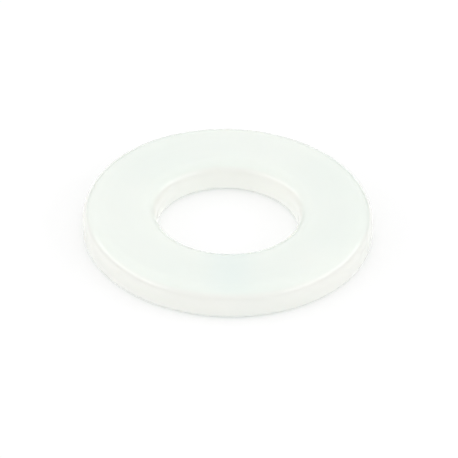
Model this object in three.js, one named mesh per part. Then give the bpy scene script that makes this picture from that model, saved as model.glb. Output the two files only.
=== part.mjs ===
// Flat washer in one piece of natural nylon, for an M4 screw.
// Millimetres, +Z up along the bore. The origin is the centre of the lower bearing face.

import * as THREE from 'three';

// Driving dimensions
const OUTER_DIAMETER = 9.0;
const BORE_DIAMETER = 4.37;
const THICKNESS = 0.96;
const UPPER_EDGE_RADIUS = 0.44; // the generous rounding of the face under the screw head
const LOWER_EDGE_RADIUS = 0.17; // the tighter rounding of the face that beds on the work

// Fineness of the faceted solid
const FACETS_AROUND = 96;
const HALF_STEPS_PER_EDGE = 2; // getPoints gives each arc twice this many steps

// Quarter turns that the profile's arcs run between, counterclockwise from outwards
const OUTWARDS = 0;
const UPWARDS = Math.PI / 2;
const INWARDS = Math.PI;
const DOWNWARDS = -Math.PI / 2;

function naturalNylon() {
  return new THREE.MeshStandardMaterial({
    name: 'natural_nylon',
    color: 0xf3f8f2,
    roughness: 0.42,
    metalness: 0,
  });
}

// The section of the ring, x out from the bore's axis and y up from the lower face:
// a flat-sided bar whose four edges are quarter circles, joined by straight stretches.
function ringSection() {
  const boreRadius = BORE_DIAMETER / 2;
  const outerRadius = OUTER_DIAMETER / 2;
  const upper = UPPER_EDGE_RADIUS;
  const lower = LOWER_EDGE_RADIUS;
  const section = new THREE.Path();
  section.absarc(outerRadius - lower, lower, lower, DOWNWARDS, OUTWARDS);
  section.absarc(outerRadius - upper, THICKNESS - upper, upper, OUTWARDS, UPWARDS);
  section.absarc(boreRadius + upper, THICKNESS - upper, upper, UPWARDS, INWARDS);
  section.absarc(boreRadius + lower, lower, lower, INWARDS, INWARDS + Math.PI / 2);
  section.closePath();
  return section.getPoints(HALF_STEPS_PER_EDGE);
}

// The washer is its section carried once around the bore's axis.
function buildWasher() {
  const geometry = new THREE.LatheGeometry(ringSection(), FACETS_AROUND);
  const washer = new THREE.Mesh(geometry, naturalNylon());
  washer.name = 'washer';
  washer.rotation.x = Math.PI / 2; // a lathe turns about +Y, and the bore stands along +Z
  return washer;
}

const object = new THREE.Group();
object.add(buildWasher());

export default object;
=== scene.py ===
import math

import bpy
import numpy as np
from mathutils import Matrix, Vector


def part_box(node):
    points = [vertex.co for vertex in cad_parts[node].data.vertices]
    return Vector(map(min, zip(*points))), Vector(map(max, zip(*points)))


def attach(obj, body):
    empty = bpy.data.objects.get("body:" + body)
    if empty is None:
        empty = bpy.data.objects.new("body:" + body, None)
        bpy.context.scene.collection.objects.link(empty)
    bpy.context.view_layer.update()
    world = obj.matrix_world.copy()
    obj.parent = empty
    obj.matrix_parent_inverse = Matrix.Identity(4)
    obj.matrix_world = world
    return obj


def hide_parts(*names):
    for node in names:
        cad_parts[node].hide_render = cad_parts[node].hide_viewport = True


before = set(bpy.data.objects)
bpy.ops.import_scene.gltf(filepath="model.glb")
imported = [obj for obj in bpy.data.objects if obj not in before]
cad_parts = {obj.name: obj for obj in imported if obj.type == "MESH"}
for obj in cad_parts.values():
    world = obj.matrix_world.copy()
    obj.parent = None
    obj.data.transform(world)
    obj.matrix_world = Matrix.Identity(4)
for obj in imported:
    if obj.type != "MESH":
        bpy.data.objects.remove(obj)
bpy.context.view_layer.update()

# ---------------------------------------------------------------------------------------
# The camera stands in front of the washer and looks down on its upper face, far enough
# off that the ring keeps almost even proportions from its near rim to its far one.
# ---------------------------------------------------------------------------------------
washer_low, washer_high = (Vector(corner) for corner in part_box("washer"))
outer_diameter = washer_high.x - washer_low.x
base_centre = (washer_low + washer_high) / 2
base_centre.z = washer_low.z

CAMERA_ELEVATION = math.radians(36.1)
CAMERA_ROLL = math.radians(1.5)
CAMERA_DISTANCE = 15.1 * outer_diameter
VIEW_WIDTH = 1.581 * outer_diameter  # what the frame takes in across, at the washer
AIM_RIGHT = 0.0050 * outer_diameter  # the aim, off the centre of the lower face
AIM_UP = 0.0080 * outer_diameter

level_right = Vector((1, 0, 0))
level_up = Vector((0, math.sin(CAMERA_ELEVATION), math.cos(CAMERA_ELEVATION)))
camera_back = level_right.cross(level_up)
camera_right = math.cos(CAMERA_ROLL) * level_right + math.sin(CAMERA_ROLL) * level_up
camera_up = camera_back.cross(camera_right)

camera_data = bpy.data.cameras.new("camera")
camera_data.lens = camera_data.sensor_width * CAMERA_DISTANCE / VIEW_WIDTH
camera_data.clip_start = 0.1 * CAMERA_DISTANCE
camera_data.clip_end = 100 * CAMERA_DISTANCE
camera = bpy.data.objects.new("camera", camera_data)
camera_place = (
    base_centre + AIM_RIGHT * camera_right + AIM_UP * camera_up + CAMERA_DISTANCE * camera_back
)
camera.matrix_world = Matrix.Translation(camera_place) @ Matrix(
    (camera_right, camera_up, camera_back)
).transposed().to_4x4()
bpy.context.scene.collection.objects.link(camera)
bpy.context.scene.camera = camera

# ---------------------------------------------------------------------------------------
# The washer: one moulded ring of natural nylon, flat on both faces, its upper edges
# generously rounded and its lower edges more tightly.
# ---------------------------------------------------------------------------------------
BORE_DIAMETER = 0.00437
UPPER_EDGE_INWARDS = 0.00052  # how far a rounded edge reaches along the face
UPPER_EDGE_DOWN = 0.00050  # and along the wall
LOWER_EDGE_INWARDS = 0.00026
LOWER_EDGE_UP = 0.00014
EDGE_FULLNESS = 2.4  # 2 would be a quarter circle, more is fuller
STEPS_AROUND = 512
STEPS_ALONG_SECTION = 160
STEPS_PER_EDGE = 64


def rounded_section(inner, outer, low, high):
    """The ring's section as a closed loop of radii and heights. Each corner is a quarter of
    a superellipse, its sides being its centre plus reach times cos a and sin a, each to the
    power 2 / fullness, so that the curve sets in without a crease. A straight run joins
    each corner to the next, and the loop is cut into steps of equal length."""
    quarter = np.linspace(0, np.pi / 2, STEPS_PER_EDGE)
    falling = 1 - np.cos(quarter) ** (2 / EDGE_FULLNESS)
    rising = 1 - np.sin(quarter) ** (2 / EDGE_FULLNESS)
    radius = np.concatenate(
        (
            outer - LOWER_EDGE_INWARDS * rising,
            outer - UPPER_EDGE_INWARDS * falling,
            inner + UPPER_EDGE_INWARDS * rising,
            inner + LOWER_EDGE_INWARDS * falling,
        )
    )
    height = np.concatenate(
        (
            low + LOWER_EDGE_UP * falling,
            high - UPPER_EDGE_DOWN * rising,
            high - UPPER_EDGE_DOWN * falling,
            low + LOWER_EDGE_UP * rising,
        )
    )
    radius = np.append(radius, radius[0])
    height = np.append(height, height[0])
    run = np.append(0, np.cumsum(np.hypot(np.diff(radius), np.diff(height))))
    even = np.linspace(0, run[-1], STEPS_ALONG_SECTION, endpoint=False)
    return np.interp(even, run, radius), np.interp(even, run, height)


def ring_surface(radius, height):
    """The section turned once about the bore: x = radius cos t, y = radius sin t, z =
    height, as a grid whose rows are turns and whose columns run round the section."""
    turn = np.linspace(0, 2 * np.pi, STEPS_AROUND, endpoint=False)[:, None]
    return np.stack(
        (radius * np.cos(turn), radius * np.sin(turn), height + 0 * turn), axis=-1
    )


def closed_grid_mesh(name, points):
    """A mesh of quads on a grid of points that closes on itself both ways."""
    rows, columns = points.shape[:2]
    index = np.arange(rows * columns).reshape(rows, columns)
    next_row = np.roll(index, -1, axis=0)
    quads = np.stack(
        (index, next_row, np.roll(next_row, -1, axis=1), np.roll(index, -1, axis=1)), axis=-1
    )
    mesh = bpy.data.meshes.new(name)
    mesh.from_pydata(points.reshape(-1, 3), [], quads.reshape(-1, 4).tolist())
    mesh.shade_smooth()
    return mesh


def sideways_share(radius, height):
    """How far the surface at each step of the closed section faces sideways, 0 on the flat
    faces and 1 on the walls: the rise between the step's two neighbours over the distance
    between them."""
    run_in = np.roll(radius, -1) - np.roll(radius, 1)
    run_up = np.roll(height, -1) - np.roll(height, 1)
    return np.abs(run_up) / np.hypot(run_in, run_up)


section_radius, section_height = rounded_section(
    BORE_DIAMETER / 2,
    outer_diameter / 2,
    washer_low.z,
    washer_high.z,
)
washer_mesh = closed_grid_mesh("nylon_washer", ring_surface(section_radius, section_height))
flank = washer_mesh.attributes.new("flank", "FLOAT", "POINT")
flank.data.foreach_set(
    "value", np.tile(sideways_share(section_radius, section_height), STEPS_AROUND)
)
washer = bpy.data.objects.new("nylon_washer", washer_mesh)
bpy.context.scene.collection.objects.link(washer)


FACE_TINT_AND_TOP_LIGHT = (0.881, 0.930, 0.880, 1)  # the nylon's milky green-white, made cooler on the faces as painted light from above
WALL_TINT_AND_FLOOR_LIGHT = (0.889, 0.902, 0.862, 1)  # creamier on the walls, as painted warm light off the floor
WALL_SETS_IN = (0.55, 0.9)  # the flank values between which one gives way to the other

NYLON_IOR = 1.53
SKIN_GLOSS = 1  # 0.5 would be what the IOR alone gives
SCATTER_DEPTH = 0.0008  # how far light wanders under the skin
SCATTER_BY_COLOUR = (1.0, 0.95, 0.8)  # red the farthest

CLOUDS_PER_METRE = 260
CLOUD_DETAIL = 2
CLOUDS_SHIFT = (0.136, 0.181, 0.061)  # which stretch of the noise is used, and any would do
CLOUD_EDGES = (0.35, 0.65)
COOL_CLOUD = (0.985, 0.992, 0.992, 1)  # what the clouds multiply the tint by
WARM_CLOUD = (1.013, 1.007, 1.007, 1)

FRONT_SHADE_TONE = (0.955, 0.980, 0.992, 1)  # painted shade: a cooler, darker band across the front of the ring
FRONT_SHADE_MIDDLE = 0.0001  # across the band, which crosses the ring at the front
FRONT_SHADE_REACH = 0.0012  # to either side, fading all the way
FRONT_SHADE_DIES_AWAY = (-0.0015, -0.0005)  # from front to back, so that the far side has none
FRONT_SHADE_ROUND_EDGE = (0.3, 0.9)  # the flank values over which it dies away

GRAIN_PER_METRE = 2600
GRAIN_DETAIL = 3
FLOW_SCALE = 1.6  # of the streaks, along the flow
FLOW_DETAIL = 3
STREAKS_PER_METRE = 2500  # across the flow, before that scale
NOISE_SPAN = (0.3, 0.7)  # the part of a noise's range that its effects follow
GRAIN_TONE = 0.001  # how far each lightens or darkens the tint
STREAK_TONE = 0.003
SATIN = 0.16  # roughness of the moulded skin, before it varies
SATIN_VARIES = 0.02  # by this much with the grain, and again with the streaks
STREAK_RELIEF = 0.5  # height of the streaks beside the grain's
RELIEF_HEIGHT = 0.000004


def natural_nylon():
    """Uncoloured nylon as it leaves the mould: milky and lit through, with a satin skin.
    Its tint runs from a cooler face to a creamier wall, which is painted light: cool light
    from above on the faces, warm light off the floor on the walls. It has soft clouds a few
    millimetres across, painted shade in a cooler, darker band across the front, and finer
    streaks that follow the flow round the ring. The skin has a fine grain."""
    material = bpy.data.materials.new("moulded_nylon")
    material.use_nodes = True
    nodes = material.node_tree.nodes
    links = material.node_tree.links
    shader = nodes["Principled BSDF"]
    shader.subsurface_method = "BURLEY"
    shader.inputs["IOR"].default_value = NYLON_IOR
    shader.inputs["Specular IOR Level"].default_value = SKIN_GLOSS
    shader.inputs["Subsurface Weight"].default_value = 1
    shader.inputs["Subsurface Radius"].default_value = SCATTER_BY_COLOUR
    shader.inputs["Subsurface Scale"].default_value = SCATTER_DEPTH

    def noise(vector, scale, detail):
        node = nodes.new("ShaderNodeTexNoise")
        node.inputs["Scale"].default_value = scale
        node.inputs["Detail"].default_value = detail
        links.new(vector, node.inputs["Vector"])
        return node.outputs["Fac"]

    def ranged(value, span, low, high):
        """Eases from low to high as the value crosses the span, and holds still outside it."""
        node = nodes.new("ShaderNodeMapRange")
        node.interpolation_type = "SMOOTHSTEP"
        for socket, number in zip(("From Min", "From Max", "To Min", "To Max"), (*span, low, high)):
            node.inputs[socket].default_value = number
        links.new(value, node.inputs["Value"])
        return node.outputs["Result"]

    def blend(kind, factor, first, second):
        """Mixes two colours, which are the Mix node's sockets 6 and 7 in and 2 out."""
        node = nodes.new("ShaderNodeMix")
        node.data_type = "RGBA"
        node.blend_type = kind
        for socket, value in ((0, factor), (6, first), (7, second)):
            if hasattr(value, "node"):
                links.new(value, node.inputs[socket])
            else:
                node.inputs[socket].default_value = value
        return node.outputs[2]

    def maths(operation, first, second=0):
        node = nodes.new("ShaderNodeMath")
        node.operation = operation
        for socket, value in enumerate((first, second)):
            if hasattr(value, "node"):
                links.new(value, node.inputs[socket])
            else:
                node.inputs[socket].default_value = value
        return node.outputs["Value"]

    place = nodes.new("ShaderNodeTexCoord").outputs["Object"]
    flank_share = nodes.new("ShaderNodeAttribute")
    flank_share.attribute_name = "flank"

    # The flow runs round the ring, so its streaks are read along the direction from the
    # bore's axis, which changes slowly, and along the distance from it, which changes fast.
    flat = nodes.new("ShaderNodeVectorMath")
    flat.operation = "MULTIPLY"
    flat.inputs[1].default_value = (1, 1, 0)
    links.new(place, flat.inputs[0])
    heading = nodes.new("ShaderNodeVectorMath")
    heading.operation = "NORMALIZE"
    links.new(flat.outputs["Vector"], heading.inputs[0])
    reach = nodes.new("ShaderNodeVectorMath")
    reach.operation = "LENGTH"
    links.new(flat.outputs["Vector"], reach.inputs[0])
    place_parts = nodes.new("ShaderNodeSeparateXYZ")
    links.new(place, place_parts.inputs["Vector"])
    upright = nodes.new("ShaderNodeCombineXYZ")
    links.new(maths("MULTIPLY", reach.outputs["Value"], STREAKS_PER_METRE), upright.inputs["Z"])
    along = nodes.new("ShaderNodeVectorMath")
    along.operation = "ADD"
    links.new(heading.outputs["Vector"], along.inputs[0])
    links.new(upright.outputs["Vector"], along.inputs[1])
    flow = nodes.new("ShaderNodeTexNoise")
    flow.noise_dimensions = "4D"
    flow.inputs["Scale"].default_value = FLOW_SCALE
    flow.inputs["Detail"].default_value = FLOW_DETAIL
    links.new(along.outputs["Vector"], flow.inputs["Vector"])
    links.new(maths("MULTIPLY", place_parts.outputs["Z"], STREAKS_PER_METRE), flow.inputs["W"])
    streaks = flow.outputs["Fac"]

    shifted = nodes.new("ShaderNodeMapping")
    shifted.inputs["Location"].default_value = CLOUDS_SHIFT
    links.new(place, shifted.inputs["Vector"])
    clouds = noise(shifted.outputs["Vector"], CLOUDS_PER_METRE, CLOUD_DETAIL)
    grain = noise(place, GRAIN_PER_METRE, GRAIN_DETAIL)

    flank_value = flank_share.outputs["Fac"]
    # Painted light: the faces take the cooler tint and the walls the creamier one, standing in for
    # cool light from above and warm light off the floor.
    tint = blend("MIX", ranged(flank_value, WALL_SETS_IN, 0, 1), FACE_TINT_AND_TOP_LIGHT, WALL_TINT_AND_FLOOR_LIGHT)
    cloud_tint = blend("MIX", ranged(clouds, CLOUD_EDGES, 0, 1), COOL_CLOUD, WARM_CLOUD)
    tint = blend("MULTIPLY", 1.0, tint, cloud_tint)

    # Painted shade: a cooler, darker band across the front of the ring, from the bore to the outer
    # edge, fading towards the back and over the rounded edge.
    off_band = maths("ABSOLUTE", maths("SUBTRACT", place_parts.outputs["X"], FRONT_SHADE_MIDDLE))
    front_shade = maths(
        "MULTIPLY",
        ranged(off_band, (0, FRONT_SHADE_REACH), 1, 0),
        ranged(place_parts.outputs["Y"], FRONT_SHADE_DIES_AWAY, 1, 0),
    )
    front_shade = maths("MULTIPLY", front_shade, ranged(flank_value, FRONT_SHADE_ROUND_EDGE, 1, 0))
    tint = blend("MIX", front_shade, tint, blend("MULTIPLY", 1.0, tint, FRONT_SHADE_TONE))

    grain_tone = ranged(grain, NOISE_SPAN, 1 - GRAIN_TONE, 1 + GRAIN_TONE)
    streak_tone = ranged(streaks, NOISE_SPAN, 1 - STREAK_TONE, 1 + STREAK_TONE)
    both_tones = maths("MULTIPLY", grain_tone, streak_tone)
    tone = nodes.new("ShaderNodeCombineColor")
    for channel in ("Red", "Green", "Blue"):
        links.new(both_tones, tone.inputs[channel])
    tint = blend("MULTIPLY", 1.0, tint, tone.outputs["Color"])
    links.new(tint, shader.inputs["Base Color"])

    satin = maths("ADD", ranged(grain, NOISE_SPAN, -SATIN_VARIES, SATIN_VARIES), SATIN)
    satin = maths("ADD", satin, ranged(streaks, NOISE_SPAN, -SATIN_VARIES, SATIN_VARIES))
    links.new(satin, shader.inputs["Roughness"])

    relief = maths("ADD", grain, maths("MULTIPLY", streaks, STREAK_RELIEF))
    bump = nodes.new("ShaderNodeBump")
    bump.inputs["Distance"].default_value = RELIEF_HEIGHT
    links.new(relief, bump.inputs["Height"])
    links.new(bump.outputs["Normal"], shader.inputs["Normal"])
    return material


washer_mesh.materials.append(natural_nylon())
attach(washer, "root")
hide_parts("washer")

# ---------------------------------------------------------------------------------------
# The stage: a pale floor under the washer, an even white tent of light round it, and a
# softbox to each side, a little in front.
# ---------------------------------------------------------------------------------------
FLOOR_SIZE = 2.0
FLOOR_GAP = 0.000005  # the film of air that keeps the two faces apart
FLOOR_GREY = (0.8, 0.8, 0.8, 1)
FLOOR_ROUGHNESS = 0.9
FLOOR_GLOW = 0.23  # brings the lit floor up to white
WHITE = (1, 1, 1, 1)
floor_mesh = bpy.data.meshes.new("floor")
half = FLOOR_SIZE / 2
drop = base_centre.z - FLOOR_GAP
floor_mesh.from_pydata(
    [(-half, -half, drop), (half, -half, drop), (half, half, drop), (-half, half, drop)],
    [],
    [(0, 1, 2, 3)],
)
floor = bpy.data.objects.new("floor", floor_mesh)
bpy.context.scene.collection.objects.link(floor)
floor_material = bpy.data.materials.new("floor")
floor_material.use_nodes = True
floor_shader = floor_material.node_tree.nodes["Principled BSDF"]
floor_shader.inputs["Base Color"].default_value = FLOOR_GREY
floor_shader.inputs["Roughness"].default_value = FLOOR_ROUGHNESS
floor_shader.inputs["Specular IOR Level"].default_value = 0
floor_shader.inputs["Emission Color"].default_value = WHITE
floor_shader.inputs["Emission Strength"].default_value = FLOOR_GLOW
floor_mesh.materials.append(floor_material)

TENT_STRENGTH = 0.93  # overhead
HORIZON_STRENGTH = 0.2  # where the tent meets the table
SEEN_STRENGTH = 1.0  # behind the table, as pale as it
DIM_BELOW = math.radians(4)
FULL_ABOVE = math.radians(16)
world = bpy.data.worlds.new("light_tent")
bpy.context.scene.world = world
world.use_nodes = True
tent_nodes = world.node_tree.nodes
tent_links = world.node_tree.links
direction = tent_nodes.new("ShaderNodeTexCoord")
direction_parts = tent_nodes.new("ShaderNodeSeparateXYZ")
tent_links.new(direction.outputs["Generated"], direction_parts.inputs["Vector"])
tent_rise = tent_nodes.new("ShaderNodeMapRange")
tent_rise.interpolation_type = "SMOOTHSTEP"
tent_rise.inputs["From Min"].default_value = math.sin(DIM_BELOW)
tent_rise.inputs["From Max"].default_value = math.sin(FULL_ABOVE)
tent_rise.inputs["To Min"].default_value = HORIZON_STRENGTH
tent_rise.inputs["To Max"].default_value = TENT_STRENGTH
tent_links.new(direction_parts.outputs["Z"], tent_rise.inputs["Value"])

# The Mix node takes its factor at socket 0 and its two numbers at 2 and 3.
seen_or_lighting = tent_nodes.new("ShaderNodeMix")
seen_or_lighting.inputs[3].default_value = SEEN_STRENGTH
light_path = tent_nodes.new("ShaderNodeLightPath")
tent_links.new(light_path.outputs["Is Camera Ray"], seen_or_lighting.inputs[0])
tent_links.new(tent_rise.outputs["Result"], seen_or_lighting.inputs[2])
tent_links.new(seen_or_lighting.outputs[0], tent_nodes["Background"].inputs["Strength"])
tent_nodes["Background"].inputs["Color"].default_value = WHITE

LIGHT_DISTANCE = 0.25
softboxes = (
    # name, azimuth and elevation in degrees, width, height, radiance
    ("softbox_left", 187, 26, 0.36, 0.07, 1.0),
    ("softbox_right", 353, 26, 0.36, 0.07, 1.15),
)
for name, azimuth, elevation, width, height, radiance in softboxes:
    light = bpy.data.lights.new(name, "AREA")
    light.shape = "RECTANGLE"
    light.size = width
    light.size_y = height
    light.energy = radiance * math.pi * width * height
    softbox = bpy.data.objects.new(name, light)
    level = math.cos(math.radians(elevation))
    toward = Vector(
        (
            level * math.cos(math.radians(azimuth)),
            level * math.sin(math.radians(azimuth)),
            math.sin(math.radians(elevation)),
        )
    )
    softbox.location = base_centre + LIGHT_DISTANCE * toward
    softbox.rotation_euler = toward.to_track_quat("Z", "Y").to_euler()
    softbox.visible_camera = False
    bpy.context.scene.collection.objects.link(softbox)

bpy.context.scene.view_settings.view_transform = "Standard"
